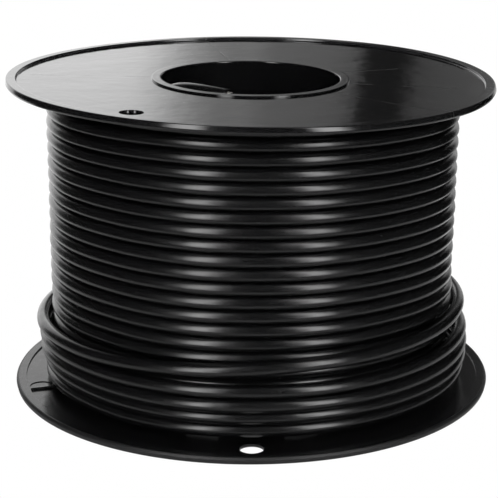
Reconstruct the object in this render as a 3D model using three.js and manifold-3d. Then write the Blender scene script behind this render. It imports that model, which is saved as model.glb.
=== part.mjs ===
// Cable reel: two moulded flanges snapped into a hollow barrel, wound with one
// length of black single-core cable in nine full layers and five outer turns.
// Millimetres, +Z up. The origin is the middle of the lower flange's standing face.

import * as THREE from 'three';
import { mergeVertices } from 'three/addons/utils/BufferGeometryUtils.js';
import Module from 'manifold-3d';

const wasm = await Module();
wasm.setup();

// ---- Driving dimensions -------------------------------------------------------

const overallHeight = 164.0;
const clearance = 0.3;

const flange = {
  radius: 127.0,
  rimWidth: 5.5,
  rimHeight: 3.6,
  partingHeight: 2.2,
  lowerDraft: 0.5,
  upperDraft: 0.8,
  webOuterFace: 1.3,
  webInnerFace: 2.9,
  edgeRound: 0.9,
  cornerRound: 0.3,
  segments: 60,
};

const hub = {
  boreRadius: 46.5,
  lipRadius: 51.4,
  lipFace: 0.4,
  spigotRadius: 48.9,
  spigotEnd: 16.2,
};

const barrel = { innerRadius: hub.spigotRadius + clearance, outerRadius: 51.7 };

const snap = {
  count: 6,
  firstAngle: 21.5,
  middle: 10.5,
  width: 9.0,
  height: 4.0,
  root: hub.spigotRadius - 1.0,
  reach: 50.7,
};

const tieHole = { radius: 5.9, fromAxis: 113.6, angle: 270, segments: 24 };
const knockout = { radius: 5.9, fromAxis: 114.6, angle: 193.6, depth: 0.4 };
const stopRib = { angle: 196.2, start: 109.2, end: 121.0, width: 1.5, root: 0.5, height: 1.2 };
const holeTool = { low: -1.0, high: 6.0 };
const upperTieHole = { fromAxis: 108.6, angle: 238.6 };

const cable = { diameter: 6.8, conductor: 4.6, jacketBore: 5.2 };
const innerLayers = { count: 8, innermost: barrel.outerRadius + 0.5, segments: 36 };
const fullLayer = {
  turns: 22,
  pitch: 6.95,
  topTurn: 157.2,
  inner: 99.9,
  valley: 103.8,
  crest: 106.0,
  crestHalfWidth: 1.5,
  turnHalfHeight: 3.3,
};

// Under the outer turns the layers are pressed in, most at the lower flange and
// not at all above a height.
const pressed = { deepest: 5.0, upTo: 38.0 };

// Outer turns: where they start, where they end, and one row of [radius, height]
// keys for each turn at the same angles once round.
const outerTurns = {
  start: [150, 107.2, 7.3],
  endAngle: 450,
  angles: [187, 218, 256, 287, 330, 353],
  rows: [
    [[107.1, 7.5], [106.4, 9.4], [108.7, 10.3], [108.7, 10.3], [110.7, 10.4], [110.9, 10.5]],
    [[107.5, 15.1], [107.4, 16.6], [109.7, 17.1], [109.7, 17.1], [112.0, 17.2], [112.0, 17.3]],
    [[109.6, 21.9], [109.4, 23.3], [111.6, 23.75], [111.6, 23.8], [112.4, 24.1], [112.4, 24.2]],
    [[110.0, 28.8], [110.2, 30.3], [110.2, 30.6], [110.2, 30.6], [111.2, 30.9], [112.0, 31.1]],
    [[111.4, 35.6], [110.9, 37.8], [110.2, 40.7], [110.2, 43.7], [110.3, 44.9], [110.5, 45.5]],
  ],
  stepAngle: 10,
  sides: 8,
};

// Inner tail of the cable, from under the first layer through the barrel wall
// and round the inside of the bore: [radius, angle, height].
const tailRoute = [
  [55.0, 140, 150.6], [50.5, 152, 151.2], [46.3, 165, 152.4], [43.0, 177, 154.4],
  [41.4, 188, 156.8], [39.2, 199, 159.0], [37.0, 211, 160.3], [35.4, 224, 160.7],
  [34.6, 237, 160.5], [34.5, 250.5, 159.8],
];
const tail = { steps: 18, sides: 12, stripped: 2.0 };

// The way through for the tail: a notch in the upper spigot's end and a window in the barrel.
const startSlot = {
  low: 147.0,
  high: 156.4,
  width: 31.0,
  start: hub.boreRadius - 10.0,
  end: barrel.outerRadius + 1.0,
  spigotAngle: 161.0,
  barrelAngle: 152.5,
};

// How much a height eases between its keys instead of running straight.
const easing = 0.4;

// The tight winding holds the flanges slightly out of parallel: heights grow by
// these slopes times the share of the overall height.
const lean = { alongX: -0.0171, alongY: -0.0209 };

// ---- Helpers ------------------------------------------------------------------

const radians = THREE.MathUtils.degToRad;

function polar(radius, angle, height) {
  return new THREE.Vector3(
    radius * Math.cos(radians(angle)),
    radius * Math.sin(radians(angle)),
    height,
  );
}

function interpolate(keys, at) {
  let i = 1;
  while (i < keys.length - 1 && at > keys[i][0]) {
    i += 1;
  }
  const [a, va] = keys[i - 1];
  const [b, vb] = keys[i];
  const eased = THREE.MathUtils.smoothstep(at, a, b);
  const straight = (at - a) / (b - a);
  return va + (vb - va) * THREE.MathUtils.lerp(straight, eased, easing);
}

function positionsOnly(geometry) {
  const bare = geometry.clone();
  bare.deleteAttribute('normal');
  bare.deleteAttribute('uv');
  return mergeVertices(bare, 1e-4);
}

function toSolid(geometry) {
  const merged = positionsOnly(geometry);
  return new wasm.Manifold(new wasm.Mesh({
    numProp: 3,
    vertProperties: new Float32Array(merged.attributes.position.array),
    triVerts: new Uint32Array(merged.index.array),
  }));
}

function toGeometry(solid) {
  const mesh = solid.getMesh();
  const geometry = new THREE.BufferGeometry();
  geometry.setAttribute('position', new THREE.BufferAttribute(mesh.vertProperties, 3));
  geometry.setIndex(new THREE.BufferAttribute(mesh.triVerts, 1));
  return geometry;
}

// A closed [radius, height] outline, counter-clockwise, turned about the Z axis.
function turned(outline, segments) {
  const points = outline.map(([r, z]) => new THREE.Vector2(r, z));
  points.push(points[0].clone());
  return new THREE.LatheGeometry(points, segments).rotateX(Math.PI / 2);
}

function ring(inner, outer, low, high, segments) {
  return turned([[inner, low], [outer, low], [outer, high], [inner, high]], segments);
}

function upright(radius, fromAxis, angle, low, high, segments) {
  const centre = polar(fromAxis, angle, (low + high) / 2);
  return new THREE.CylinderGeometry(radius, radius, high - low, segments)
    .rotateX(Math.PI / 2)
    .translate(centre.x, centre.y, centre.z);
}

// A box whose length points away from the axis at an angle.
function radialBox(start, end, width, low, high, angle) {
  return new THREE.BoxGeometry(end - start, width, high - low)
    .translate((start + end) / 2, 0, (low + high) / 2)
    .rotateZ(radians(angle));
}

function disc(radius, holeRadius, sides) {
  const shape = new THREE.Shape();
  const corner = (r, i) => [
    r * Math.cos((2 * Math.PI * i) / sides),
    r * Math.sin((2 * Math.PI * i) / sides),
  ];
  shape.setFromPoints(Array.from({ length: sides }, (_, i) => new THREE.Vector2(...corner(radius, i))));
  if (holeRadius > 0) {
    const hole = new THREE.Path();
    hole.setFromPoints(
      Array.from({ length: sides }, (_, i) => new THREE.Vector2(...corner(holeRadius, -i))),
    );
    shape.holes.push(hole);
  }
  return shape;
}

function swept(shape, path, steps) {
  return new THREE.ExtrudeGeometry(shape, { steps, bevelEnabled: false, extrudePath: path });
}

// ---- Flanges ------------------------------------------------------------------

function flangeOutline() {
  const rimInside = flange.radius - flange.rimWidth;
  const round = flange.edgeRound;
  const corner = flange.cornerRound;
  return [
    [hub.boreRadius + round, hub.lipFace],
    [hub.lipRadius - round, hub.lipFace],
    [hub.lipRadius, hub.lipFace + corner],
    [hub.lipRadius, flange.webOuterFace],
    [rimInside, flange.webOuterFace],
    [rimInside, corner],
    [rimInside + corner, 0],
    [flange.radius - flange.lowerDraft - corner, 0],
    [flange.radius - flange.lowerDraft, corner],
    [flange.radius, flange.partingHeight],
    [flange.radius - flange.upperDraft, flange.rimHeight - corner],
    [flange.radius - flange.upperDraft - corner, flange.rimHeight],
    [rimInside, flange.rimHeight],
    [rimInside - corner, flange.webInnerFace],
    [hub.spigotRadius, flange.webInnerFace],
    [hub.spigotRadius, hub.spigotEnd - round],
    [hub.spigotRadius - corner, hub.spigotEnd],
    [hub.boreRadius + corner, hub.spigotEnd],
    [hub.boreRadius, hub.spigotEnd - round],
    [hub.boreRadius, hub.lipFace + round],
  ];
}

function snapHooks(grow) {
  return Array.from({ length: snap.count }, (_, i) => radialBox(
    snap.root,
    snap.reach + grow * 2,
    snap.width + grow * 2,
    snap.middle - snap.height / 2 - grow,
    snap.middle + snap.height / 2 + grow,
    snap.firstAngle + (360 / snap.count) * i,
  ));
}

// One moulding, standing face down; the two flanges differ only in where the tie hole is.
function mouldedFlange(holeFromAxis) {
  const rib = radialBox(
    stopRib.start,
    stopRib.end,
    stopRib.width,
    flange.webInnerFace - stopRib.root,
    flange.webInnerFace + stopRib.height,
    stopRib.angle,
  );
  const hole = upright(
    tieHole.radius,
    holeFromAxis,
    tieHole.angle,
    holeTool.low,
    holeTool.high,
    tieHole.segments,
  );
  const mark = upright(
    knockout.radius,
    knockout.fromAxis,
    knockout.angle,
    flange.webInnerFace - knockout.depth,
    holeTool.high,
    tieHole.segments,
  );
  let body = toSolid(turned(flangeOutline(), flange.segments));
  body = body.subtract(toSolid(mark));
  body = body.subtract(toSolid(hole));
  body = body.add(toSolid(rib));
  for (const hook of snapHooks(0)) {
    body = body.add(toSolid(hook));
  }
  return body;
}

// Turns a piece of the lower end over onto the upper end.
function turnedOver(geometry) {
  return geometry
    .rotateX(Math.PI)
    .rotateZ(radians(upperTieHole.angle + tieHole.angle))
    .translate(0, 0, overallHeight);
}

// ---- Cable routes -------------------------------------------------------------

// The outer turns' keys as [angle from the start of the first turn, value].
function outerTurnsKeys(column) {
  const [firstAngle, ...first] = outerTurns.start;
  const keys = [[firstAngle, first[column]]];
  outerTurns.rows.forEach((row, turn) => {
    row.forEach((place, i) => keys.push([outerTurns.angles[i] + 360 * turn, place[column]]));
  });
  keys.push([lastOuterAngle(), outerTurns.rows.at(-1).at(-1)[column]]);
  return keys;
}

function lastOuterAngle() {
  return outerTurns.endAngle + 360 * (outerTurns.rows.length - 1);
}

class OuterTurnsRoute extends THREE.Curve {
  constructor() {
    super();
    this.radii = outerTurnsKeys(0);
    this.heights = outerTurnsKeys(1);
  }

  getPoint(t, target = new THREE.Vector3()) {
    const angle = THREE.MathUtils.lerp(outerTurns.start[0], lastOuterAngle(), t);
    return target.copy(polar(interpolate(this.radii, angle), angle, interpolate(this.heights, angle)));
  }
}

function tailPath() {
  return new THREE.CatmullRomCurve3(tailRoute.map((point) => polar(...point)));
}

// ---- Barrel and winding -------------------------------------------------------

function barrelTube() {
  const low = flange.webInnerFace + clearance;
  const high = overallHeight - low;
  let body = toSolid(ring(barrel.innerRadius, barrel.outerRadius, low, high, flange.segments));
  for (const window of snapHooks(clearance)) {
    body = body.subtract(toSolid(window));
    body = body.subtract(toSolid(turnedOver(window.clone())));
  }
  return body;
}

function startSlotAt(angle) {
  const { start, end, width, low, high } = startSlot;
  return toSolid(radialBox(start, end, width, low, high, angle));
}

// Cuts the tail off where it passes under the first layer, at the barrel's outer face.
function insideBarrelOnly(solid) {
  const core = upright(barrel.outerRadius, 0, 0, overallHeight / 2, overallHeight + 10, flange.segments);
  return solid.intersect(toSolid(core));
}

function tailJacket() {
  const section = disc(cable.diameter / 2, cable.jacketBore / 2, tail.sides);
  return insideBarrelOnly(toSolid(swept(section, tailPath(), tail.steps)));
}

function tailConductor() {
  const path = tailPath();
  const end = path.getPoint(1);
  const strippedEnd = path.getTangent(1).multiplyScalar(tail.stripped).add(end);
  const longer = new THREE.CatmullRomCurve3([...path.points, strippedEnd]);
  const section = disc(cable.conductor / 2, 0, tail.sides);
  return insideBarrelOnly(toSolid(swept(section, longer, tail.steps)));
}

function pressedIn(radius, height) {
  return radius - pressed.deepest * Math.max(0, 1 - height / pressed.upTo);
}

function innerLayer(index) {
  const step = (fullLayer.inner - innerLayers.innermost) / innerLayers.count;
  const inner = innerLayers.innermost + step * index;
  const outer = inner + step - clearance;
  const low = flange.webInnerFace + clearance;
  const high = overallHeight - low;
  if (index < innerLayers.count - 1) {
    return ring(inner, outer, low, high, innerLayers.segments);
  }
  const outline = [
    [inner, low],
    [pressedIn(outer, low), low],
    [outer, pressed.upTo],
    [outer, high],
    [inner, high],
  ];
  return turned(outline, innerLayers.segments);
}

// The outermost full layer, with a ridge for each turn.
function ridgedLayer() {
  const { turns, pitch, topTurn, inner, valley, crest, crestHalfWidth, turnHalfHeight } = fullLayer;
  const bottomTurn = topTurn - pitch * (turns - 1);
  const low = bottomTurn - turnHalfHeight;
  const high = topTurn + turnHalfHeight;
  const outline = [[inner, pressed.upTo], [inner, low], [valley, low]];
  for (let i = 0; i < turns; i += 1) {
    const middle = bottomTurn + pitch * i;
    outline.push([crest, middle - crestHalfWidth]);
    outline.push([crest, middle + crestHalfWidth]);
    outline.push([valley, Math.min(middle + pitch / 2, high)]);
  }
  outline.push([inner, high]);
  return turned(outline.map(([r, z]) => [pressedIn(r, z), z]), innerLayers.segments);
}

function outerTurnsTube() {
  const travelled = lastOuterAngle() - outerTurns.start[0];
  const steps = Math.round(travelled / outerTurns.stepAngle);
  return swept(disc(cable.diameter / 2, 0, outerTurns.sides), new OuterTurnsRoute(), steps);
}

// ---- Assembly -----------------------------------------------------------------

const blackPlastic = { color: 0x121213, roughness: 0.38, metalness: 0 };
const blackJacket = { color: 0x08080a, roughness: 0.22, metalness: 0 };
const tinnedCopper = { color: 0xbdb9b2, roughness: 0.35, metalness: 1 };

// Leans the upper end over the lower one without moving the standing face.
function leaned(geometry) {
  const place = geometry.attributes.position;
  for (let i = 0; i < place.count; i += 1) {
    const slope = lean.alongX * place.getX(i) + lean.alongY * place.getY(i);
    place.setZ(i, place.getZ(i) * (1 + slope / overallHeight));
  }
  return geometry;
}

const reel = new THREE.Group();

function addPiece(name, geometry, finish) {
  const mesh = new THREE.Mesh(leaned(positionsOnly(geometry)), new THREE.MeshStandardMaterial(finish));
  mesh.name = name;
  reel.add(mesh);
}

const upperFlange = toSolid(turnedOver(toGeometry(mouldedFlange(upperTieHole.fromAxis))))
  .subtract(startSlotAt(startSlot.spigotAngle));
const slottedBarrel = barrelTube().subtract(startSlotAt(startSlot.barrelAngle));

addPiece('lower_flange', toGeometry(mouldedFlange(tieHole.fromAxis)), blackPlastic);
addPiece('upper_flange', toGeometry(upperFlange), blackPlastic);
addPiece('barrel', toGeometry(slottedBarrel), blackPlastic);
for (let i = 0; i < innerLayers.count; i += 1) {
  addPiece(`winding_layer_${i + 1}`, innerLayer(i), blackJacket);
}
addPiece(`winding_layer_${innerLayers.count + 1}`, ridgedLayer(), blackJacket);
addPiece('outer_turns', outerTurnsTube(), blackJacket);
addPiece('inner_tail_jacket', toGeometry(tailJacket()), blackJacket);
addPiece('inner_tail_conductor', toGeometry(tailConductor()), tinnedCopper);

export default reel;
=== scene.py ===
# %% [markdown]
# # A cable reel, piece by piece
# The reel is two moulded flanges snapped into a hollow barrel and wound with about a hundred
# metres of black cable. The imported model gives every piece's place and size. This script keeps
# that frame and gives each piece its fine surface: rounded mouldings, real turns of cable
# instead of rings, and cut ends with their strands.

import bpy
import numpy as np
from mathutils import Matrix, Vector


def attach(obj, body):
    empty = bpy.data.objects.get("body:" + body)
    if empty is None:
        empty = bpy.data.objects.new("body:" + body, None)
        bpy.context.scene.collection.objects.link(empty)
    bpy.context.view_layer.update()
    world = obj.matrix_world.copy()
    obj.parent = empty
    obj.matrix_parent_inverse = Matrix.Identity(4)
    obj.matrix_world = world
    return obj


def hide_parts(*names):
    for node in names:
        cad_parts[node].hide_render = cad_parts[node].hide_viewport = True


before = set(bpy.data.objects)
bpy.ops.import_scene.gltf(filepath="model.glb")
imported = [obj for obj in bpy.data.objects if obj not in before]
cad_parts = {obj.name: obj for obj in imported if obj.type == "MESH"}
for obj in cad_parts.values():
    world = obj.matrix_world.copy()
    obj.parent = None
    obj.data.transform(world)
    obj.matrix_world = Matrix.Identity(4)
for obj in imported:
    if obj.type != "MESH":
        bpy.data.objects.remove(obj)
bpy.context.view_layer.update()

MM = 0.001

# %% [markdown]
# ## Camera
# The reel is seen through a long lens from about a metre away, looking down by seventeen
# degrees. A short lens close by would swell the nearer rim; a long one keeps the two flanges
# nearly the same width. A constraint could aim the camera, but its three directions are built
# one by one here, so that its small roll is one number.

# %% Camera
TARGET = Vector((-1.08, 0.0, 70.09)) * MM
CAMERA_DISTANCE = 1.017
CAMERA_ELEVATION = np.radians(16.95)
CAMERA_ROLL = np.radians(-0.13)
FOCAL_LENGTH, SENSOR_WIDTH = 137.6, 36.0
VIEW_DEPTH = 30.0


def make_camera():
    """Right, up and back are three square directions; the roll turns right and up about back."""
    back = Vector((0.0, -np.cos(CAMERA_ELEVATION), np.sin(CAMERA_ELEVATION)))
    right = Vector((1.0, 0.0, 0.0))
    up = back.cross(right)
    rolled_right = right * np.cos(CAMERA_ROLL) + up * np.sin(CAMERA_ROLL)
    rolled_up = back.cross(rolled_right)
    facing = Matrix((rolled_right, rolled_up, back)).transposed().to_4x4()
    data = bpy.data.cameras.new("camera")
    data.lens = FOCAL_LENGTH
    data.sensor_width = SENSOR_WIDTH
    data.clip_end = VIEW_DEPTH
    camera = bpy.data.objects.new("camera", data)
    camera.matrix_world = Matrix.Translation(TARGET + back * CAMERA_DISTANCE) @ facing
    bpy.context.scene.collection.objects.link(camera)
    return camera


bpy.context.scene.camera = make_camera()
print("camera at", np.round(bpy.context.scene.camera.location, 3))

# %% [markdown]
# ## The lean of the wound reel
# A tight winding pushes the flanges slightly out of parallel. Turning the upper flange alone
# would open a gap at the barrel, so every piece shares one rule instead: its height grows by a
# slope times its place in plan, in proportion to how high it is. The standing face stays flat,
# and everything below is worked out upright and then leaned.

# %% Shared sizes and the lean
HEIGHT = 164.0
LEAN_X, LEAN_Y = -0.0171, -0.0209
CABLE_RADIUS = 3.4


def leaned(points):
    """New height = height x (1 + (slope_x x + slope_y y) / overall height), in millimetres."""
    x, y, z = points[..., 0], points[..., 1], points[..., 2]
    higher = z * (1.0 + (LEAN_X * x + LEAN_Y * y) / HEIGHT)
    return np.stack([x, y, higher], axis=-1)


def around(radius, degrees, height):
    """Point = (radius x cos(angle), radius x sin(angle), height)."""
    angle = np.radians(degrees)
    radius, angle, height = np.broadcast_arrays(radius, angle, height)
    return np.stack([radius * np.cos(angle), radius * np.sin(angle), height], axis=-1)


print("the upper end leans by", np.round(np.degrees(np.arctan([LEAN_X, LEAN_Y])), 2), "degrees")

# %% [markdown]
# ## Putting numpy grids into meshes
# A surface here is a grid of points: rows run one way and columns the other. The faces join
# each point with its neighbours, and either direction may close on itself. Blender's own
# primitives could be bent into these shapes, but a formula says exactly where a point is.

# %% Grid and mesh helpers
SHARP_EDGE = np.radians(35.0)


def grid_faces(rows, columns, close_rows=False, close_columns=False):
    """Quads between rows r, r+1 and columns c, c+1, counted on a grid stored row by row."""
    r = np.arange(rows if close_rows else rows - 1)[:, None]
    c = np.arange(columns if close_columns else columns - 1)[None, :]
    next_r, next_c = (r + 1) % rows, (c + 1) % columns
    corners = [(r, c), (r, next_c), (next_r, next_c), (next_r, c)]
    counted = [row * columns + column for row, column in corners]
    return np.stack(np.broadcast_arrays(*counted), axis=-1).reshape(-1, 4)


def tube_faces(rings, sides):
    """The quads round a stack of rings, with a flat cap on the first and on the last ring."""
    faces = grid_faces(rings, sides, close_columns=True).tolist()
    faces.append(list(range(sides))[::-1])
    faces.append(list(range((rings - 1) * sides, rings * sides)))
    return faces


def signed_volume(mesh):
    """A sixth of the sum of a . (b x c) over all triangles: positive when faces point outwards."""
    mesh.calc_loop_triangles()
    corner = np.empty(len(mesh.loop_triangles) * 3, np.int32)
    mesh.loop_triangles.foreach_get("vertices", corner)
    place = np.empty(len(mesh.vertices) * 3)
    mesh.vertices.foreach_get("co", place)
    a, b, c = place.reshape(-1, 3)[corner.reshape(-1, 3)].transpose(1, 0, 2)
    return float(np.einsum("ij,ij->", a, np.cross(b, c)) / 6.0)


def shade(mesh):
    """Smooth shading, with edges sharper than SHARP_EDGE kept crisp."""
    mesh.polygons.foreach_set("use_smooth", np.ones(len(mesh.polygons), bool))
    mesh.set_sharp_from_angle(angle=SHARP_EDGE)


def make_object(name, points, faces):
    """One closed mesh from millimetre points, turned right side out and shaded."""
    mesh = bpy.data.meshes.new(name)
    mesh.from_pydata((np.asarray(points).reshape(-1, 3) * MM).tolist(), [], faces)
    if signed_volume(mesh) < 0.0:
        mesh.flip_normals()
    shade(mesh)
    piece = bpy.data.objects.new(name, mesh)
    bpy.context.scene.collection.objects.link(piece)
    return piece


def finish_piece(piece, material, replaced=()):
    """Gives a piece its finish and its place on the reel's one body."""
    piece.data.materials.clear()
    piece.data.materials.append(material)
    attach(piece, "root")
    for node in replaced:
        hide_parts(node)
    piece.data.calc_loop_triangles()
    print(piece.name, "has", len(piece.data.loop_triangles), "triangles")


print("mesh helpers ready")

# %% [markdown]
# ## Materials as small programs
# A node material is a formula read from left to right. Its nodes could be placed and linked
# line by line, but a helper that writes one node per call and returns its output lets it read
# like arithmetic. Noise is read from Object coordinates, in metres, as no piece is ever moved.

# %% Node helpers
class Nodes:
    """Writes shader nodes one call at a time and hands back their outputs."""

    def __init__(self, name):
        self.material = bpy.data.materials.new(name)
        self.material.use_nodes = True
        self.tree = self.material.node_tree
        self.tree.nodes.clear()
        self.output = self.tree.nodes.new("ShaderNodeOutputMaterial")

    def add(self, kind, inputs, output=0, **settings):
        """One node: an input that is another node's output is linked, any other is set."""
        node = self.tree.nodes.new("ShaderNode" + kind)
        for key, value in settings.items():
            setattr(node, key, value)
        for key, value in inputs.items():
            if isinstance(value, bpy.types.NodeSocket):
                self.tree.links.new(value, node.inputs[key])
            else:
                node.inputs[key].default_value = value
        return node.outputs[output]

    def math(self, operation, a, b=0.0):
        """One operation on one or two numbers."""
        return self.add("Math", {0: a, 1: b}, operation=operation)

    def chain(self, operation, first, *others):
        """The same operation carried from left to right over several numbers."""
        for other in others:
            first = self.math(operation, first, other)
        return first

    def weighted(self, *pairs):
        """Sum of value x weight over (value, weight) pairs."""
        return self.chain("ADD", *(self.math("MULTIPLY", *pair) for pair in pairs))

    def ramp(self, value, low, high, to_low=0.0, to_high=1.0):
        """An S-shaped step from to_low to to_high as value goes from low to high."""
        inputs = {"Value": value, "From Min": low, "From Max": high}
        inputs.update({"To Min": to_low, "To Max": to_high})
        return self.add("MapRange", inputs, interpolation_type="SMOOTHSTEP")

    def noise(self, vector, scale, detail=2.0, roughness=0.5):
        """Cloudy noise round 0.5, with scale lumps to the metre and detail finer layers."""
        inputs = {"Vector": vector, "Scale": scale, "Detail": detail, "Roughness": roughness}
        return self.add("TexNoise", inputs)

    def position(self):
        """The point's place in the reel's own frame, in metres."""
        return self.add("TexCoord", {}, output="Object")

    def vector(self, x, y, z=0.0):
        """Three numbers joined into one vector."""
        return self.add("CombineXYZ", {0: x, 1: y, 2: z})

    def parts(self, vector):
        """The x, y and z of a vector."""
        return [self.add("SeparateXYZ", {0: vector}, output=i) for i in range(3)]

    def table(self, value, pairs):
        """Reads a level off (place, level) pairs, straight between one pair and the next."""
        first, last = pairs[0][0], pairs[-1][0]
        peak = max(level for _, level in pairs)
        share = self.add("MapRange", {"Value": value, "From Min": first, "From Max": last})
        node = self.tree.nodes.new("ShaderNodeValToRGB")
        self.tree.links.new(share, node.inputs["Fac"])
        stops = node.color_ramp.elements
        for place, level in pairs[1:-1]:
            stops.new((place - first) / (last - first))
        for stop, (place, level) in zip(stops, pairs):
            stop.color = (level / peak, level / peak, level / peak, 1.0)
        return self.math("MULTIPLY", node.outputs["Color"], peak)

    def plastic(self, colour, roughness, bump):
        """A shiny shader without colour in its gloss, as any plastic has."""
        inputs = {"Base Color": colour, "Roughness": roughness, "Normal": bump}
        inputs.update({"IOR": 1.5, "Specular IOR Level": 0.5})
        return self.surface(self.add("BsdfPrincipled", inputs))

    def surface(self, shader):
        """Puts a shader on the material's surface and hands the material back."""
        self.tree.links.new(shader, self.output.inputs["Surface"])
        return self.material


print("node helpers ready")

# %% [markdown]
# ## Moulded plastic
# The flanges and barrel are black plastic from a polished mould. The mould leaves a very fine
# grain, faint rings from its turned steel and streaks where the melt flowed outwards from the
# hub; where two flows met there is a faint weld line. Handling leaves soft smudges, dust
# gathers at the foot of the rim, and the rim that the reel stands on is scuffed dull. An image
# could be painted with all this, but it would blur close by, so each mark is a noise or a step
# in radius, angle and height.

# %% Plastic values: colour and gloss
PLASTIC_BASE = (0.0062, 0.0062, 0.0066)
SMUDGE_SCALE, SMUDGE_ROUGHNESS = 24.0, 0.55
SMUDGE_TONE, SMUDGE_GLOSS = (0.85, 1.25), (0.075, 0.105)
TONE_SPREAD, GLOSS_SPREAD, DUST_SPREAD = (0.25, 0.8), (0.3, 0.72), (0.3, 0.6)
STREAK_SCALE, STREAK_STRETCH, STREAK_GLOSS = 9.0, (4.0, 1.6), 0.04
RIM_STARTS, RIM_ENDS, RIM_GLOSS = 0.1205, 0.1222, 0.03
LOWER_FADE, LOWER_GLOSS = (0.02, 0.06), 0.09
STANDING_FADE, STANDING_EDGE, STANDING_GLOSS = (0.003, 0.006), (0.125, 0.126), 0.26
RIM_FOOT, DUST_WIDTH, DUST_SHADE = 0.1214, 0.0012, 2.5

# %% Plastic values: relief
GRAIN_SCALE, GRAIN_DEPTH = 2600.0, 0.10
RING_SCALE, RING_DEPTH = 230.0, 1.7
SWEEP_SCALE, SWEEP_PER_RADIAN, SWEEP_DEPTH = 60.0, 0.02, 1.2
WAVE_SCALE, WAVE_DEPTH = 32.0, 10.0
DIMPLE_SCALE, DIMPLE_DEPTH = 125.0, 3.2
WELD_ANGLES, WELD_HALF_WIDTH = [179.0, 102.0, 23.0, -10.0, -40.0], 0.0009
WELD_BREAK_SCALE, WELD_BREAKS = 60.0, (0.34, 0.5)
WELD_HEIGHTS, WELD_STARTS = (0.02, 0.10), (0.051, 0.054)
WELD_GLOSS, WELD_DEPTH = 0.2, -1.5
PLASTIC_BUMP = {"Strength": 0.09, "Distance": 0.0002}


# %% Plastic patterns
def about_axis(n, place):
    """Radius = root of (x x + y y), angle = arctangent of y over x, and the height."""
    x, y, z = n.parts(place)
    radius = n.math("SQRT", n.math("ADD", n.math("MULTIPLY", x, x), n.math("MULTIPLY", y, y)))
    return radius, n.math("ARCTAN2", y, x), z


def weld_lines(n, place, radius, angle, z):
    """1 on thin lines outwards from the hub, broken up by noise, on the upper flange alone."""
    weld = 0.0
    for degrees in WELD_ANGLES:
        turned_by = n.math("SUBTRACT", angle, float(np.radians(degrees)))
        aside = n.math("ABSOLUTE", n.math("MULTIPLY", turned_by, radius))
        weld = n.math("MAXIMUM", weld, n.ramp(aside, 0.0, WELD_HALF_WIDTH, 1.0, 0.0))
    broken = n.ramp(n.noise(place, WELD_BREAK_SCALE), *WELD_BREAKS)
    return n.chain("MULTIPLY", weld, broken, n.ramp(z, *WELD_HEIGHTS), n.ramp(radius, *WELD_STARTS))


def plastic_relief(n, place, radius, angle, z, weld):
    """Height = sum of pattern x depth over grain, rings, sweeps, waves, dimples and welds."""
    grain = n.noise(place, GRAIN_SCALE, detail=1.0)
    rings = n.noise(n.vector(radius, 0.0, z), RING_SCALE)
    sweeps = n.noise(n.vector(radius, n.math("MULTIPLY", angle, SWEEP_PER_RADIAN)), SWEEP_SCALE)
    waves = n.noise(place, WAVE_SCALE, detail=1.0)
    dimples = n.noise(place, DIMPLE_SCALE, detail=1.0)
    height = n.weighted(
        (grain, GRAIN_DEPTH), (rings, RING_DEPTH), (sweeps, SWEEP_DEPTH),
        (waves, WAVE_DEPTH), (dimples, DIMPLE_DEPTH), (weld, WELD_DEPTH),
    )
    return n.add("Bump", {**PLASTIC_BUMP, "Height": height})


print("plastic patterns ready")

# %% Plastic material
def plastic_roughness(n, radius, angle, z, smudges, weld):
    """Roughness = smudged base + streaks, and more on the rims, the lower flange and welds."""
    across, round_axis = STREAK_STRETCH
    flow = n.vector(n.math("MULTIPLY", radius, across), n.math("MULTIPLY", angle, round_axis))
    streaks = n.math("SUBTRACT", n.noise(flow, STREAK_SCALE, detail=3.0), 0.5)
    scuffed = n.ramp(z, *STANDING_FADE, STANDING_GLOSS, 0.0)
    return n.chain(
        "ADD",
        n.math("MULTIPLY", scuffed, n.ramp(radius, *STANDING_EDGE)),
        n.ramp(z, *LOWER_FADE, LOWER_GLOSS, 0.0),
        n.ramp(smudges, *GLOSS_SPREAD, *SMUDGE_GLOSS),
        n.math("MULTIPLY", streaks, STREAK_GLOSS),
        n.math("MULTIPLY", n.ramp(radius, RIM_STARTS, RIM_ENDS), RIM_GLOSS),
        n.math("MULTIPLY", weld, WELD_GLOSS),
    )


def plastic_colour(n, radius, smudges):
    """Colour = base x (smudge tone + dust), with the dust in a ring at the foot of the rim."""
    from_foot = n.math("ABSOLUTE", n.math("SUBTRACT", radius, RIM_FOOT))
    patchy = n.ramp(smudges, *DUST_SPREAD, 0.5, 1.0)
    dust = n.math("MULTIPLY", n.ramp(from_foot, 0.0, DUST_WIDTH, 1.0, 0.0), patchy)
    tone = n.ramp(smudges, *TONE_SPREAD, *SMUDGE_TONE)
    tone = n.math("ADD", tone, n.math("MULTIPLY", dust, DUST_SHADE))
    return n.add("VectorMath", {0: PLASTIC_BASE, "Scale": tone}, operation="SCALE")


def plastic_material():
    """One finish for every moulding, read off the radius, angle and height of each point."""
    n = Nodes("moulded_plastic")
    place = n.position()
    radius, angle, z = about_axis(n, place)
    smudges = n.noise(place, SMUDGE_SCALE, detail=3.0, roughness=SMUDGE_ROUGHNESS)
    weld = weld_lines(n, place, radius, angle, z)
    relief = plastic_relief(n, place, radius, angle, z, weld)
    roughness = plastic_roughness(n, radius, angle, z, smudges, weld)
    return n.plastic(plastic_colour(n, radius, smudges), roughness, relief)


PLASTIC = plastic_material()
print("plastic material has", len(PLASTIC.node_tree.nodes), "nodes")

# %% [markdown]
# ## Cable jacket
# A PVC jacket is extruded through a round die: it is glossy, with very fine lines along its
# length and slow swells where it cooled and was wound. Noise on Object coordinates alone would
# draw the lines across the cable, and a UV map would leave a seam along it. So the pieces carry
# an attribute called lay that says, for each point, where it is round the cable and how far
# along it, and the lines follow the cable round the reel.

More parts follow.
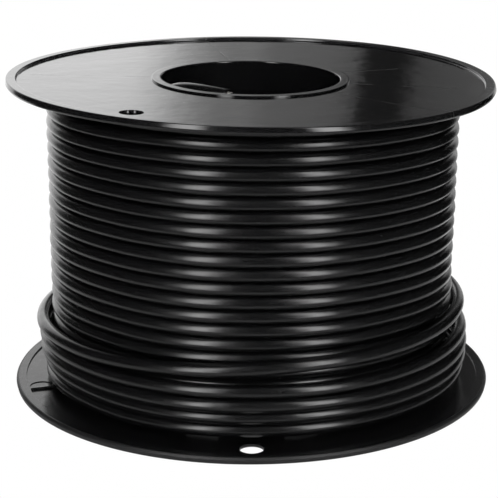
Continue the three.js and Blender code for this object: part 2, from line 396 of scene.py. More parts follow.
# %% Jacket material
JACKET_BASE = (0.0037, 0.0037, 0.0040)
JACKET_GLOSS = (0.21, 0.265)
LINE_STRETCH, LINE_SCALE, LINE_DEPTH = (1.0, 1.0, 2.0), 9.0, 0.35
SWELL_SCALE, SWELL_DEPTH = 75.0, 2.2
PEEL_SCALE, PEEL_DEPTH = 900.0, 0.10
SCUFF_SCALE, SCUFF_ROUGHNESS, SCUFF_SPREAD = 40.0, 0.6, (0.35, 0.75)
SPECK_SCALE, SPECK_FROM, SPECK_TO, SPECK_SHADE = 1500.0, 0.80, 0.84, 0.02
JACKET_BUMP = {"Strength": 0.22, "Distance": 0.0003}


def jacket_material():
    """Relief = lines + swells + peel, each x its depth; scuffs dull it and dust specks it."""
    n = Nodes("cable_jacket")
    place = n.position()
    lay = n.add("Attribute", {}, output="Vector", attribute_name="lay")
    stretched = n.add("VectorMath", {0: lay, 1: LINE_STRETCH}, operation="MULTIPLY")
    lines = n.noise(stretched, LINE_SCALE)
    swells = n.noise(place, SWELL_SCALE, detail=1.0)
    peel = n.noise(place, PEEL_SCALE)
    height = n.weighted((lines, LINE_DEPTH), (swells, SWELL_DEPTH), (peel, PEEL_DEPTH))
    bump = n.add("Bump", {**JACKET_BUMP, "Height": height})
    scuffs = n.noise(place, SCUFF_SCALE, detail=4.0, roughness=SCUFF_ROUGHNESS)
    roughness = n.ramp(scuffs, *SCUFF_SPREAD, *JACKET_GLOSS)
    dust = n.noise(place, SPECK_SCALE, detail=0.0)
    speck = n.ramp(dust, SPECK_FROM, SPECK_TO, 0.0, SPECK_SHADE)
    colour = n.add("VectorMath", {0: JACKET_BASE, 1: speck}, operation="ADD")
    return n.plastic(colour, roughness, bump)


JACKET = jacket_material()
print("jacket material has", len(JACKET.node_tree.nodes), "nodes")

# %% [markdown]
# ## Tinned copper
# The conductor is a bundle of fine copper strands with a coat of tin, which keeps them from
# turning green. A metal's colour is the colour of its reflection, so there is no need for a
# second layer under the gloss: a warm grey, a little darker where air has dulled the tin.

# %% Strand material
BRIGHT_TIN = (0.42, 0.41, 0.39, 1.0)
DULL_TIN = (0.22, 0.21, 0.195, 1.0)
TARNISH_SCALE, TIN_GLOSS = 700.0, (0.22, 0.42)
TARNISH_SPREAD, SATIN_SPREAD = (0.35, 0.7), (0.3, 0.75)
DRAWN_SCALE = 3000.0
STRAND_BUMP = {"Strength": 0.2, "Distance": 0.0001}


def strand_material():
    """Colour = bright tin to dull tin and gloss to satin, both by one tarnish noise."""
    n = Nodes("copper_strands")
    place = n.position()
    tarnish = n.noise(place, TARNISH_SCALE, detail=3.0)
    mix = {0: n.ramp(tarnish, *TARNISH_SPREAD), 6: BRIGHT_TIN, 7: DULL_TIN}
    colour = n.add("Mix", mix, output=2, data_type="RGBA")
    roughness = n.ramp(tarnish, *SATIN_SPREAD, *TIN_GLOSS)
    bump = n.add("Bump", {**STRAND_BUMP, "Height": n.noise(place, DRAWN_SCALE, detail=1.0)})
    inputs = {"Base Color": colour, "Roughness": roughness, "Normal": bump, "Metallic": 1.0}
    return n.surface(n.add("BsdfPrincipled", inputs))


STRANDS = strand_material()
print("strand material has", len(STRANDS.node_tree.nodes), "nodes")

# %% [markdown]
# ## A circle carried along a path
# A curve with a round bevel would also draw a cable, but it can't fold in on itself or say how
# far along it a point is. So every cable surface here is one idea: take rings of points and set
# them square to a path. Each ring has its own radius and its own distance along the path, and
# distances may run back, which makes a cut end with a socket for the conductor.

# %% Paths
def path_length(path):
    """Distance from the start to each point of a path, added up piece by piece."""
    steps = np.linalg.norm(np.diff(path, axis=0), axis=1)
    return np.concatenate([[0.0], np.cumsum(steps)])


def along(path, distance):
    """Points on a path at given distances, read between its points and past its last one."""
    travelled = path_length(path)
    inside = np.stack([np.interp(distance, travelled, path[:, i]) for i in range(3)], axis=-1)
    last = path[-1] - path[-2]
    over = np.maximum(distance - travelled[-1], 0.0)[:, None]
    return inside + over * last / np.linalg.norm(last)


def ring_directions(path, distance):
    """Outward is the plan direction from the axis made square to the path; upward completes it."""
    reach = 0.5
    ahead, behind = along(path, distance + reach), along(path, np.maximum(distance - reach, 0.0))
    forward = ahead - behind
    forward /= np.linalg.norm(forward, axis=1, keepdims=True)
    outward = along(path, distance) * (1.0, 1.0, 0.0)
    outward -= np.sum(outward * forward, axis=1, keepdims=True) * forward
    outward /= np.linalg.norm(outward, axis=1, keepdims=True)
    return outward, np.cross(outward, forward)


print("path helpers ready")

# %% Cable surfaces
LAY_PER_MM = 10.0 * MM
EASE_SHARE = 0.4


def carried_rings(path, distance, radius, sides):
    """Point = centre + radius x (cos(turn) x outward + sin(turn) x upward) for each ring."""
    turn = np.arange(sides) * 2.0 * np.pi / sides
    cosine, sine = np.cos(turn)[None, :], np.sin(turn)[None, :]
    outward, upward = ring_directions(path, distance)
    spoke = cosine[..., None] * outward[:, None] + sine[..., None] * upward[:, None]
    points = along(path, distance)[:, None] + radius[:, None, None] * spoke
    lay = np.stack(np.broadcast_arrays(cosine, sine, distance[:, None] * LAY_PER_MM), axis=-1)
    return points, lay


def cable_object(name, path, distance, radius, sides):
    """A closed tube of carried rings that keeps its lay: round the cable, and how far along."""
    points, lay = carried_rings(path, distance, radius, sides)
    piece = make_object(name, leaned(points), tube_faces(len(distance), sides))
    attribute = piece.data.attributes.new("lay", "FLOAT_VECTOR", "POINT")
    attribute.data.foreach_set("vector", lay.reshape(-1).astype(np.float32))
    return piece


def straight_between(value, rows):
    """Reads (place, level) rows, straight between one row and the next."""
    return np.interp(value, *np.array(rows, float).T)


def eased_between(angle, rows):
    """Reads (angle, level) rows, four parts S-shaped ease to six parts straight line."""
    at, level = np.array(rows, float).T
    i = np.clip(np.searchsorted(at, angle) - 1, 0, len(at) - 2)
    straight = np.clip((angle - at[i]) / (at[i + 1] - at[i]), 0.0, 1.0)
    eased = straight * straight * (3.0 - 2.0 * straight)
    share = EASE_SHARE * eased + (1.0 - EASE_SHARE) * straight
    return level[i] + (level[i + 1] - level[i]) * share


print("cable surface helpers ready")

# %% [markdown]
# ## The inner tail
# The cable's first end comes in through the barrel wall and lies against the inside of the
# bore. A physics run could let it spring into place, but it is a stiff free end a hand's width
# long that hardly sags. So its route is a short list of points, each a radius, an angle and a
# height, joined by one smooth curve.

# %% Inner tail route
TAIL_ROUTE = [
    (55.0, 140, 150.6), (50.5, 152, 151.2), (46.3, 165, 152.4), (43.0, 177, 154.4),
    (41.4, 188, 156.8), (39.2, 199, 159.0), (37.0, 211, 160.3), (35.4, 224, 160.7),
    (34.6, 237, 160.5), (34.5, 250.5, 159.8),
]
TAIL_STEPS = 400
BARREL_OUTER = 51.7


def smooth_curve(points, steps):
    """Centripetal Catmull-Rom: a curve through every point, worked out span by span."""
    before, after = 2 * points[0] - points[1], 2 * points[-1] - points[-2]
    p = np.vstack([before, points, after])
    spans = np.sqrt(np.linalg.norm(np.diff(p, axis=0), axis=1))
    knots = np.concatenate([[0.0], np.cumsum(spans)])
    t = np.linspace(knots[1], knots[-2], steps)
    i = np.clip(np.searchsorted(knots, t) - 1, 1, len(p) - 3)

    def blend(a, b, ta, tb):
        return (a * (tb - t)[:, None] + b * (t - ta)[:, None]) / (tb - ta)[:, None]

    k = [knots[i + j] for j in (-1, 0, 1, 2)]
    q = [p[i + j] for j in (-1, 0, 1, 2)]
    a1, a2, a3 = (blend(q[j], q[j + 1], k[j], k[j + 1]) for j in range(3))
    b1, b2 = blend(a1, a2, k[0], k[2]), blend(a2, a3, k[1], k[3])
    return blend(b1, b2, k[1], k[2])


def tail_path():
    """The smooth curve through the route, from the barrel's outer face inwards."""
    radius, degrees, height = np.array(TAIL_ROUTE).T
    whole = smooth_curve(around(radius, degrees, height), TAIL_STEPS)
    return whole[np.hypot(whole[:, 0], whole[:, 1]) < BARREL_OUTER]


TAIL = tail_path()
print("the tail is", round(path_length(TAIL)[-1], 1), "mm long")

# %% [markdown]
# The jacket is a tube whose far end folds in on itself: the outside, a small rounded edge,
# the cut face, then a socket. The conductor could be one plain rod, but a cut end shows its
# strands, so it is nineteen of them in three layers, each a thin tube that follows the cable
# and twists round its middle.

# %% Cut ends
SOCKET_DEPTH = 6.0
CUT_END = np.array([(0.35, 0.0), (0.1, 0.1), (0.0, 0.35), (0.0, 0.8), (SOCKET_DEPTH, 0.8)])
PLAIN_END = np.array([(0.0, 0.0)])
END_CLEARANCE = 1.0
STRAND_RADIUS, STRAND_RINGS, STRAND_SIDES = 0.46, 14, 12
STRANDS_IN, STRANDS_OUT = 0.5, 2.0
LAY_LENGTH = 42.0
# Strands in each layer, and where the first one starts, in turns
STRAND_LAYERS = [(1, 0.0), (6, 0.0), (12, 0.04)]
RINGS_SHORTER = (0, 2, 1)


def cable_rings(path, step, cut):
    """Distances and radii of a cable's rings; a cut end turns in over a rounded edge."""
    total = path_length(path)[-1]
    body = np.linspace(0.0, total, int(total / step) + 2)[1:-1]
    body = body[(body > END_CLEARANCE) & (body < total - END_CLEARANCE)]
    back, less = (CUT_END if cut else PLAIN_END).T
    distance = np.concatenate([[0.0], body, total - back])
    return distance, CABLE_RADIUS - np.concatenate([np.zeros(len(body) + 1), less])


def strands_object(name, path):
    """Nineteen tubes: centre = cable's centre + layer x two radii, turned by start + distance / lay."""
    strands = []
    for layer, (count, start) in enumerate(STRAND_LAYERS):
        strands += [(layer, start + k / count) for k in range(count)]
    total = path_length(path)[-1]
    distance = np.linspace(total - SOCKET_DEPTH + STRANDS_IN, total + STRANDS_OUT, STRAND_RINGS)
    outward, upward = ring_directions(path, np.minimum(distance, total))
    centre = along(path, distance)
    points, faces = [], []
    for strand, (layer, start) in enumerate(strands):
        turn = (2 * np.pi * (start + distance / LAY_LENGTH))[:, None]
        offset = layer * 2.0 * STRAND_RADIUS
        line = centre + offset * (np.cos(turn) * outward + np.sin(turn) * upward)
        line = line[: len(line) - RINGS_SHORTER[strand % 3]]
        radius = np.full(len(line), STRAND_RADIUS)
        rings, _ = carried_rings(line, path_length(line), radius, STRAND_SIDES)
        first = sum(len(block) for block in points)
        faces += [[first + i for i in face] for face in tube_faces(len(line), STRAND_SIDES)]
        points.append(rings.reshape(-1, 3))
    return make_object(name, leaned(np.vstack(points)), faces)


print("cut ends ready")

# %% Inner tail
TAIL_SIDES, TAIL_RING_STEP = 32, 1.0
tail_jacket = cable_object("inner_tail_cable", TAIL, *cable_rings(TAIL, TAIL_RING_STEP, True), TAIL_SIDES)
finish_piece(tail_jacket, JACKET, ["inner_tail_jacket"])
tail_strands = strands_object("inner_tail_strands", TAIL)
finish_piece(tail_strands, STRANDS, ["inner_tail_conductor"])

# %% [markdown]
# ## The full layer
# The outermost full layer is one cable going round twenty-two times from the upper flange to
# the lower one. A ring for each turn would look too perfect: a real turn drops by one cable's
# width on its way round, most of it at the back and sides, and tension varies. So the route is
# a formula of the angle: height, radius and a few slow ripples.

# %% Full layer values
TURNS, STEPS_PER_TURN = 22, 160
PITCH, TOP_TURN = 6.95, 157.2
LAYER_RADIUS = 103.1
JOIN_ANGLE = 187
LOWEST_CENTRE, HIGHEST_CENTRE = 6.65, 157.65
# At each angle: how far a turn has fallen there
FALL = [
    (187, -1.9), (230, -0.3), (256, 0), (287, 0), (310, -0.6), (338, -2.3), (353, -3.6),
    (547, -8.85),
]
FIRST_TURN_LIFT = [(187, 0.0), (200, 1.6), (240, 0.9), (280, 0.4), (360, 0.0)]
# At each height: how far a turn lies off the even pitch, in front and at the right
STRETCH = [(35, -1.0), (60, -0.7), (90, -0.46), (122, -0.2), (138, 0.0), (146, 0.35), (157, 0.6)]
STRETCH_AT = [(187, 0.0), (225, 0.0), (245, 1.0), (353, 1.0), (547, 0.0)]
RIGHT_SAG = [(40, -1.3), (69, -0.9), (89, -0.35), (109, 0.0), (149, 0.45)]
RIGHT_SAG_AT = [(187, 0.0), (310, 0.0), (338, 0.7), (346, 1.0), (353, 1.0), (547, 0.0)]
# At each height: how far the winding swells to the right
RIGHT_BULGE = [(45, 0.0), (151.7, 2.42)]
RIGHT_SWELL = [(38, 0.0), (44, 0.9), (50, 0.9), (60, 0.0)]
PRESSED_IN = [(0, 5.0), (38, 0.0)]
# The start comes up from the layer below; the end climbs onto the outer turns
LAYER_START, START_TUCK = 120.0, [(120, 5.0), (165, 0.0)]
OUTER_START, OUTER_START_RADIUS, OUTER_START_HEIGHT = 150, 107.2, 7.3
CLIMB_OUT = [(390, 0.0), (420, 0.35), (450, 0.6), (480, 0.82), (510, 1.0)]
CLIMB_UP = [(450, 0.0), (510, OUTER_START_HEIGHT - LOWEST_CENTRE)]
RADIUS_RIPPLES = [(0.10, 2.37, 0.0), (0.06, 5.13, 1.0)]
HEIGHT_RIPPLES = [(0.05, 1.71, 2.0), (0.03, 4.31, 0.0)]


# %% Full layer route
def ripples(whole, waves):
    """Sum of size x sin(rate x angle + start)."""
    return sum(size * np.sin(rate * np.radians(whole) + start) for size, rate, start in waves)


def layer_height(whole):
    """Height = top - pitch x turn + fall(angle) + what the stretch and sag add at that height."""
    turn = np.floor((whole - JOIN_ANGLE) / 360.0)
    angle = whole - 360.0 * turn
    height = TOP_TURN - PITCH * turn + eased_between(angle, FALL)
    height += eased_between(angle, STRETCH_AT) * straight_between(height, STRETCH)
    height += eased_between(angle, RIGHT_SAG_AT) * straight_between(height, RIGHT_SAG)
    return height + straight_between(whole, FIRST_TURN_LIFT)


def full_layer_path():
    """Radius = layer + swell to the right - what the outer turns press in, eased at both ends."""
    last_turn = 360.0 * (TURNS - 1)
    whole = np.linspace(LAYER_START, last_turn + 360.0 + OUTER_START, TURNS * STEPS_PER_TURN)
    height = layer_height(whole)
    right = 0.5 * (1.0 + np.cos(np.radians(whole)))
    swell = straight_between(height, RIGHT_BULGE) + straight_between(height, RIGHT_SWELL)
    height = np.clip(height, LOWEST_CENTRE, HIGHEST_CENTRE)
    radius = LAYER_RADIUS + right * swell
    radius -= straight_between(whole, START_TUCK) + straight_between(height, PRESSED_IN)
    climb = OUTER_START_RADIUS - LAYER_RADIUS + straight_between(LOWEST_CENTRE, PRESSED_IN)
    radius += climb * straight_between(whole - last_turn, CLIMB_OUT) + ripples(whole, RADIUS_RIPPLES)
    height += straight_between(whole - last_turn, CLIMB_UP) + ripples(whole, HEIGHT_RIPPLES)
    return around(radius, whole, height)


FULL_LAYER = full_layer_path()
print("full layer holds", round(path_length(FULL_LAYER)[-1] / 1000, 2), "m of cable")

# %% Full layer of cable
LAYER_SIDES, LAYER_RING_STEP = 26, 5.4
full_layer_rings = cable_rings(FULL_LAYER, LAYER_RING_STEP, False)
full_layer = cable_object("full_layer_cable", FULL_LAYER, *full_layer_rings, LAYER_SIDES)
finish_piece(full_layer, JACKET, ["winding_layer_9"])

# %% [markdown]
# ## The outer turns
# Five more turns lie on top of the full layer, next to the lower flange. The last one climbs
# away from its neighbours, so a few turns of the layer below show in the gap. It ends at the
# back, cut square. These turns were laid by hand and follow no even
# pitch, so each has its own row of places instead of a formula.

# %% Outer turns
OUTER_END = 450
OUTER_STEPS, OUTER_SIDES, OUTER_RING_STEP = 900, 32, 4.5
OUTER_ANGLES = [187, 218, 256, 287, 330, 353]
OUTER_ROUTE = [
    [(107.1, 7.5), (106.4, 9.4), (108.7, 10.3), (108.7, 10.3), (110.7, 10.4), (110.9, 10.5)],
    [(107.5, 15.1), (107.4, 16.6), (109.7, 17.1), (109.7, 17.1), (112.0, 17.2), (112.0, 17.3)],
    [(109.6, 21.9), (109.4, 23.3), (111.6, 23.75), (111.6, 23.8), (112.4, 24.1), (112.4, 24.2)],
    [(110.0, 28.8), (110.2, 30.3), (110.2, 30.6), (110.2, 30.6), (111.2, 30.9), (112.0, 31.1)],
    [(111.4, 35.6), (110.9, 37.8), (110.2, 40.7), (110.2, 43.7), (110.3, 44.9), (110.5, 45.5)],
]


def outer_turns_path():
    """Radius and height are read off one row of places for each turn, at its six angles."""
    rows = [(OUTER_START, OUTER_START_RADIUS, OUTER_START_HEIGHT)]
    for turn, places in enumerate(OUTER_ROUTE):
        rows += [(angle + 360 * turn, *place) for angle, place in zip(OUTER_ANGLES, places)]
    last = 360 * (len(OUTER_ROUTE) - 1) + OUTER_END
    rows.append((last, *OUTER_ROUTE[-1][-1]))
    at, radius, height = np.array(rows).T
    whole = np.linspace(OUTER_START, last, OUTER_STEPS)
    radius = eased_between(whole, np.stack([at, radius], axis=-1))
    height = eased_between(whole, np.stack([at, height], axis=-1))
    return around(radius, whole, height)


OUTER_TURNS = outer_turns_path()
outer_rings = cable_rings(OUTER_TURNS, OUTER_RING_STEP, True)
outer_turns = cable_object("outer_turns_cable", OUTER_TURNS, *outer_rings, OUTER_SIDES)
finish_piece(outer_turns, JACKET, ["outer_turns"])
outer_strands = strands_object("outer_end_strands", OUTER_TURNS)
finish_piece(outer_strands, STRANDS)

# %% [markdown]
# ## A profile turned about the axis
# The mouldings are turned shapes: a closed outline carried round the axis. A Bevel modifier
# would round every edge alike, but a mould's roundings differ and are what draws the bright
# lines along a rim. So the outline is a list of corners, each with its own rounding.

# %% Turned shapes
ROUNDING_STEPS = 5
HOLD, LONG_SIDE = 0.5, 3.0


def rounded(corners):
    """Each corner becomes a curve that leaves one side and lands on the next: a quadratic
    from corner - reach to corner + reach with the corner itself as its pull. One more point
    on each long side, a hold away from the curve, keeps the flat's shading truly flat."""
    corner, reach = np.split(np.array(corners, float), [2], axis=1)
    back, ahead = np.roll(corner, 1, axis=0) - corner, np.roll(corner, -1, axis=0) - corner
    back_length, ahead_length = (np.linalg.norm(v, axis=1, keepdims=True) for v in (back, ahead))
    back, ahead = back / back_length, ahead / ahead_length
    start, end = corner + back * reach, corner + ahead * reach
    t = np.linspace(0.0, 1.0, ROUNDING_STEPS)[None, :, None]
    curve = (1 - t) ** 2 * start[:, None] + 2 * t * (1 - t) * corner[:, None] + t**2 * end[:, None]
    held = []
    for i, points in enumerate(curve):
        before = [start[i] + HOLD * back[i]] if back_length[i] > LONG_SIDE else []
        after = [end[i] + HOLD * ahead[i]] if ahead_length[i] > LONG_SIDE else []
        held += before + list(points) + after
    return np.array(held)


def turned(outline, columns):
    """Point = (radius x cos(angle), radius x sin(angle), height) for each outline point."""
    angle = np.arange(columns)[:, None] * 360.0 / columns
    points = around(outline[None, :, 0], angle, outline[None, :, 1])
    return points, grid_faces(columns, len(outline), close_rows=True, close_columns=True).tolist()


print("turning helpers ready")

# %% Cutting and joining
ROUND_TOOL_SIDES = 72


def combine(piece, operation, tools):
    """Joins tools to a piece or takes them away, and keeps the result as the piece's mesh."""
    for tool in tools:
        modifier = piece.modifiers.new(operation, "BOOLEAN")
        modifier.operation, modifier.solver, modifier.object = operation, "EXACT", tool
    graph = bpy.context.evaluated_depsgraph_get()
    result = bpy.data.meshes.new_from_object(piece.evaluated_get(graph))
    piece.modifiers.clear()
    piece.data = result
    shade(result)
    for tool in tools:
        bpy.data.objects.remove(tool)


def round_tool(from_axis, degrees, rows):
    """An upright round tool: one circle for each (radius, height) row, closed at both ends."""
    radius, height = np.array(rows).T[:, :, None]
    turn = np.arange(ROUND_TOOL_SIDES)[None] * 360.0 / ROUND_TOOL_SIDES
    points = around(radius, turn, height) + around(from_axis, degrees, 0.0)
    return points.reshape(-1, 3), tube_faces(len(rows), ROUND_TOOL_SIDES)


print("cutting helpers ready")

# %% [markdown]
# ## The two flanges
# Both flanges are one shape. The lower one stands on its rim; the upper one is the same
# moulding turned over, with its tie hole nearer the hub. That hole goes right through; the mark
# beside the stop rib is only a shallow disc. A hole left out of the grid would tear its rings,
# so both are cut with round tools, flared to leave a small chamfer. The rib is joined on.

# %% Flange values
FLANGE_OUTLINE = [
    (46.5, 0.4, 0.6), (51.4, 0.4, 0.15), (51.4, 1.3, 0.1), (121.5, 1.3, 0.7),
    (121.5, 0.0, 0.25), (126.5, 0.0, 0.5), (127.0, 2.2, 0.4), (126.2, 3.6, 0.4),
    (121.5, 3.6, 0.03), (121.5, 2.9, 0.03), (48.9, 2.9, 0.3), (48.9, 16.2, 0.4),
    (46.5, 16.2, 0.4),
]
FLANGE_COLUMNS = 360
WEB_OUTER, WEB_INNER = 1.3, 2.9
HOLE_RADIUS, HOLE_FROM_AXIS, TIE_ANGLE = 5.9, 113.6, 270.0
UPPER_HOLE_FROM_AXIS, UPPER_TIE_ANGLE = 108.6, 238.6
MARK_FROM_AXIS, MARK_ANGLE = 114.6, 193.6
MARK_DEPTH, MARK_LIP, MARK_FLARE = 0.4, 0.1, 1.1
CHAMFER, OVERSHOOT = 0.15, 1.0
WARP, RIM_RADIUS = 0.6, 127.0
RIB_START, RIB_END, RIB_ANGLE = 109.2, 121.0, 196.2
RIB_WIDTH, RIB_HEIGHT, RIB_ROUNDING = 1.5, 1.2, 0.3
RIB_SUNK, RIB_FOOT_ROUNDING = 0.5, 0.05


# %% Flange mould
def turned_over(points):
    """Half a turn about X, then a turn about the axis, then up to the barrel's other end. The
    winding's push leaves it a little warped: rise = warp x (2 x y) / rim radius squared."""
    a = np.radians(UPPER_TIE_ANGLE + TIE_ANGLE)
    x, y, z = points[..., 0], -points[..., 1], HEIGHT - points[..., 2]
    x, y = x * np.cos(a) - y * np.sin(a), x * np.sin(a) + y * np.cos(a)
    return np.stack([x, y, z + WARP * 2.0 * x * y / RIM_RADIUS**2], axis=-1)


def rib_shape():
    """Point = reach x outward + across x sideways + height, with a section that shrinks at the ends."""
    half, top, foot = RIB_WIDTH / 2, WEB_INNER + RIB_HEIGHT, WEB_INNER - RIB_SUNK
    section = rounded([
        (-half, foot, RIB_FOOT_ROUNDING), (half, foot, RIB_FOOT_ROUNDING),
        (half, top, RIB_ROUNDING), (-half, top, RIB_ROUNDING),
    ])
    reach = np.array([RIB_START, RIB_START + RIB_ROUNDING, RIB_END - RIB_ROUNDING, RIB_END])
    shrink = np.array([RIB_ROUNDING, 0.0, 0.0, RIB_ROUNDING])
    across = section[None, :, 0] * (1 - shrink / half)[:, None]
    height = np.minimum(section[None, :, 1], (top - shrink)[:, None])
    outward, sideways = around(1.0, RIB_ANGLE, 0.0), around(1.0, RIB_ANGLE + 90, 0.0)
    points = reach[:, None, None] * outward + across[..., None] * sideways
    points = points + height[..., None] * np.array([0.0, 0.0, 1.0])
    return points.reshape(-1, 3), tube_faces(len(reach), len(section))


def flange_object(name, hole_from_axis, place=np.asarray):
    """The outline turned about the axis with its rib and holes; place can turn it over."""
    points, faces = turned(rounded(FLANGE_OUTLINE), FLANGE_COLUMNS)
    body = make_object(name, leaned(place(points)), faces)
    wide = HOLE_RADIUS + CHAMFER + OVERSHOOT
    below = [(wide, WEB_OUTER - OVERSHOOT), (HOLE_RADIUS, WEB_OUTER + CHAMFER)]
    above = [(HOLE_RADIUS, WEB_INNER - CHAMFER), (wide, WEB_INNER + OVERSHOOT)]
    tie = round_tool(hole_from_axis, TIE_ANGLE, below + above)
    shallow = [(HOLE_RADIUS, WEB_INNER - MARK_DEPTH), (HOLE_RADIUS, WEB_INNER - MARK_LIP)]
    flare = [(HOLE_RADIUS + MARK_FLARE, WEB_INNER + OVERSHOOT)]
    mark = round_tool(MARK_FROM_AXIS, MARK_ANGLE, shallow + flare)

    def tool(shape):
        return make_object("tool", leaned(place(shape[0])), shape[1])

    combine(body, "DIFFERENCE", [tool(tie), tool(mark)])
    combine(body, "UNION", [tool(rib_shape())])
    return body


# %% Lower flange
lower_flange = flange_object("lower_flange_moulding", HOLE_FROM_AXIS)
finish_piece(lower_flange, PLASTIC, ["lower_flange"])

# %% [markdown]
# The upper flange has one more cut: a notch in its spigot that lets the cable's first end
# through from the winding into the bore. An outline is the same all round, so a box cuts it.

# %% Upper flange
SLOT_REACH, SLOT_SIDES, SLOT_HEIGHTS = (36.5, 52.7), (-15.5, 15.5), (147.0, 156.4)
BOX_FACES = [(0, 1, 3, 2), (4, 6, 7, 5), (0, 4, 5, 1), (2, 3, 7, 6), (0, 2, 6, 4), (1, 5, 7, 3)]
NOTCH_ANGLE, WINDOW_ANGLE = 161.0, 152.5


def slot_tool(degrees):
    """A box round the barrel: point = reach x ahead + side x aside + height x up."""
    box = np.stack(np.meshgrid(SLOT_REACH, SLOT_SIDES, SLOT_HEIGHTS, indexing="ij"), axis=-1)
    ahead, aside = around(1.0, degrees, 0.0), around(1.0, degrees + 90.0, 0.0)
    corners = box @ np.array([ahead, aside, (0.0, 0.0, 1.0)])
    return make_object("slot_tool", leaned(corners), BOX_FACES)


upper_flange = flange_object("upper_flange_moulding", UPPER_HOLE_FROM_AXIS, turned_over)
combine(upper_flange, "DIFFERENCE", [slot_tool(NOTCH_ANGLE)])
finish_piece(upper_flange, PLASTIC, ["upper_flange"])

# %% [markdown]
# ## The barrel
# A plain tube between the flanges, hidden under the winding except through the bore, with
# one window for the cable's first end. A Solidify modifier could thicken a cylinder into it,
# but an outline rounds its ends too.

# %% Barrel
BARREL_INNER, BARREL_LOW, BARREL_HIGH = 49.2, 3.2, HEIGHT - 3.2
BARREL_ROUNDING, BARREL_COLUMNS = 0.3, 240
BARREL_CORNERS = [
    (BARREL_INNER, BARREL_LOW), (BARREL_OUTER, BARREL_LOW),
    (BARREL_OUTER, BARREL_HIGH), (BARREL_INNER, BARREL_HIGH),
]
barrel_outline = rounded([(*corner, BARREL_ROUNDING) for corner in BARREL_CORNERS])
barrel_points, barrel_faces = turned(barrel_outline, BARREL_COLUMNS)
barrel = make_object("barrel_tube", leaned(barrel_points), barrel_faces)
combine(barrel, "DIFFERENCE", [slot_tool(WINDOW_ANGLE)])
finish_piece(barrel, PLASTIC, ["barrel"])

# %% [markdown]
# ## Inner layers
# Eight more layers of cable lie under the one that shows. Only slivers of them can be seen
# between the turns, so real turns would be wasted on them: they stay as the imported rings, in
# the jacket's finish.

# %% Inner layers
OUTERMOST_LAYER = "winding_layer_9"
layers = [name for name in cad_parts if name.startswith("winding_layer_")]
inner_layers = [name for name in layers if name != OUTERMOST_LAYER]
for name in inner_layers:
    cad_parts[name].data.materials.clear()
    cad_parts[name].data.materials.append(JACKET)
print(len(inner_layers), "inner layers keep their rings")

# %% [markdown]
# ## Floor and surroundings
# A glossy black thing has almost no colour of its own: what is seen is what it reflects. So
# the surroundings are as much a material as the plastic is. Area lights would reflect as hard
# rectangles, so everything that glows here is a surface whose glow is a formula. The floor is
# a pale round table that glows a little, more behind the reel than in front, and draws the
# thin line under every turn. Only reflections see it, so the underside can be looked at too.

# %% Floor
FLOOR_RADIUS, FLOOR_SIDES, FLOOR_DROP = 290.0, 96, 0.05
FLOOR_CENTRE = (0.0, 40.0, 0.0)
FLOOR_EDGE_STARTS = 0.85
FLOOR_GLOW, FLOOR_BACK_GLOW, FLOOR_BACK_FADE = 0.5, 1.0, (0.03, 0.16)
WHITE = (1.0, 1.0, 1.0, 1.0)


def glowing_floor():
    """Glow = a level that rises towards the back x a soft step down at the edge."""
    n = Nodes("pale_floor")
    place = n.position()
    centre = np.array(FLOOR_CENTRE) * MM
    from_centre = n.add("VectorMath", {0: place, 1: centre}, operation="SUBTRACT")
    reach = n.add("VectorMath", {0: from_centre}, output="Value", operation="LENGTH")
    edge = FLOOR_RADIUS * MM
    level = n.ramp(n.parts(place)[1], *FLOOR_BACK_FADE, FLOOR_GLOW, FLOOR_BACK_GLOW)
    glow = n.math("MULTIPLY", level, n.ramp(reach, FLOOR_EDGE_STARTS * edge, edge, 1.0, 0.0))
    return n.surface(n.add("Emission", {"Color": WHITE, "Strength": glow}))


def floor_object():
    """One round face just under the reel: point = centre + radius at each angle."""
    angle = np.arange(FLOOR_SIDES) * 360.0 / FLOOR_SIDES
    rim = around(FLOOR_RADIUS, angle, -FLOOR_DROP) + FLOOR_CENTRE
    mesh = bpy.data.meshes.new("floor")
    mesh.from_pydata((rim * MM).tolist(), [], [list(range(FLOOR_SIDES))])
    mesh.materials.append(glowing_floor())
    piece = bpy.data.objects.new("floor", mesh)
    bpy.context.scene.collection.objects.link(piece)
    return piece


floor = floor_object()
floor.visible_camera = False
print("floor radius", FLOOR_RADIUS, "mm")

# %% [markdown]
# The rest of the room is a big dome that only reflections see. An image could light it, but a
# formula of direction keeps every edge clean: two tall strip lights and a weak screen in front,
# and a wall behind that is bright on the left, dim past the middle and has a dark gap. The
# plain white world is what the camera sees behind the reel.

# %% Dome values
DOME_RADIUS, DOME_ROWS, DOME_COLUMNS = 8000.0, 24, 48
STRIP_GLOW, STRIP_SOFTNESS = 8.0, 3.5
LEFT_STRIP, RIGHT_STRIP = (-35.5, -21.5), (29.7, 42.8)
STRIP_LEVELS = [(-35, 0.0), (-21, 0.5), (-9, 1.0), (36, 1.0), (52, 0.5), (72, 0.0)]
SCREEN = [
    (-130, 0.0), (-110, 0.03), (-60, 0.01), (-48, 0.02), (-38, 0.01), (-20, 0.01), (22, 0.01),
    (35, 0.02), (44, 0.04), (55, 0.05), (62, 0.04), (110, 0.03), (130, 0.0),
]
SCREEN_LEVELS = [(-45, 0.0), (-20, 1.0), (20, 1.0), (45, 0.75), (70, 0.3), (100, 0.0)]
BACK_LEFT = [
    (-60, 0.0), (-43, 0.1), (-38.5, 1.2), (-20, 1.5), (-10, 1.6), (-4.7, 1.5), (-3.5, 1.42),
    (-2.7, 1.1), (-2.0, 0.76), (-1.2, 0.48), (-0.4, 0.34), (0.3, 0.36), (1.1, 0.25), (2.9, 0.22),
    (3.9, 0.18), (4.25, 0.0), (8.0, 0.0),
]
BACK_LEFT_LEVELS = [
    (-42, 0.0), (-30, 0.6), (-6, 1.0), (15, 1.0), (24, 0.68), (35, 0.68), (60, 0.0),
]
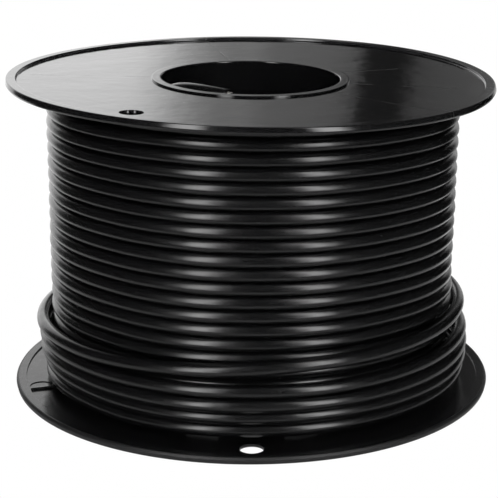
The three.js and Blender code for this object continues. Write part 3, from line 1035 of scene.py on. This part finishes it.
BACK_RIGHT = [
    (3.9, 0.0), (4.3, 0.01), (5.6, 0.01), (6.2, 0.11), (8.0, 0.16), (12, 0.5), (22, 0.8),
    (28, 0.4), (33, 0.0),
]
BACK_RIGHT_LEVELS = [
    (-42, 0.0), (-30, 0.4), (-6, 1.0), (14, 1.0), (19, 0.2), (23, 0.2), (30, 0.33), (45, 0.33),
    (60, 0.0),
]
OVERHEAD_FADE, OVERHEAD_GLOW, DIM_GLOW = (72.0, 86.0), 0.12, 0.01


# %% Dome of light
def strip(low, high):
    """A light from one angle to another, fading out over its softness to either side."""
    soft = STRIP_SOFTNESS
    return [(low - soft, 0.0), (low + soft, STRIP_GLOW), (high - soft, STRIP_GLOW), (high + soft, 0.0)]


def dome_material():
    """Glow = sum of lights, each a table over the angle times a table over the elevation."""
    n = Nodes("dome_of_light")
    x, y, z = n.parts(n.add("VectorMath", {0: n.position()}, operation="NORMALIZE"))
    degrees = 180.0 / np.pi
    towards_front = n.math("MULTIPLY", y, -1.0)
    from_front = n.math("MULTIPLY", n.math("ARCTAN2", x, towards_front), degrees)
    from_back = n.math("MULTIPLY", n.math("ARCTAN2", x, y), degrees)
    elevation = n.math("MULTIPLY", n.math("ARCSINE", z), degrees)
    lights = [
        (from_front, strip(*LEFT_STRIP), STRIP_LEVELS),
        (from_front, strip(*RIGHT_STRIP), STRIP_LEVELS),
        (from_front, SCREEN, SCREEN_LEVELS),
        (from_back, BACK_LEFT, BACK_LEFT_LEVELS),
        (from_back, BACK_RIGHT, BACK_RIGHT_LEVELS),
    ]
    overhead = n.ramp(elevation, *OVERHEAD_FADE, DIM_GLOW, DIM_GLOW + OVERHEAD_GLOW)
    each = [n.math("MULTIPLY", n.table(angle, a), n.table(elevation, b)) for angle, a, b in lights]
    glow = n.chain("ADD", overhead, *each)
    return n.surface(n.add("Emission", {"Color": WHITE, "Strength": glow}))


def dome_object():
    """A ball of latitude rings: radius x cos(latitude) wide and radius x sin(latitude) high."""
    rows, columns = DOME_ROWS, DOME_COLUMNS
    latitude = np.radians(np.linspace(-90.0, 90.0, rows + 2)[1:-1])[:, None]
    angle = np.arange(columns)[None] * 360.0 / columns
    rings = around(DOME_RADIUS * np.cos(latitude), angle, DOME_RADIUS * np.sin(latitude))
    poles = np.array([[0.0, 0.0, -DOME_RADIUS], [0.0, 0.0, DOME_RADIUS]])
    faces = grid_faces(rows, columns, close_columns=True).tolist()
    south, north = rows * columns, rows * columns + 1
    last = (rows - 1) * columns
    faces += [[south, (i + 1) % columns, i] for i in range(columns)]
    faces += [[north, last + i, last + (i + 1) % columns] for i in range(columns)]
    return make_object("dome_of_light", np.vstack([rings.reshape(-1, 3), poles]), faces)


dome = dome_object()
dome.data.materials.append(dome_material())
dome.data.materials[0].cycles.emission_sampling = "NONE"
dome.visible_camera = False
dome.visible_shadow = False
print("dome radius", DOME_RADIUS * MM, "m")

# %% White background
world = bpy.data.worlds.new("white_background")
world.use_nodes = True
world.node_tree.nodes["Background"].inputs["Color"].default_value = WHITE
for seen_by in ("diffuse", "glossy", "transmission", "scatter"):
    setattr(world.cycles_visibility, seen_by, False)
bpy.context.scene.world = world
bpy.context.scene.view_settings.view_transform = "Standard"
print("only the camera sees the white background")
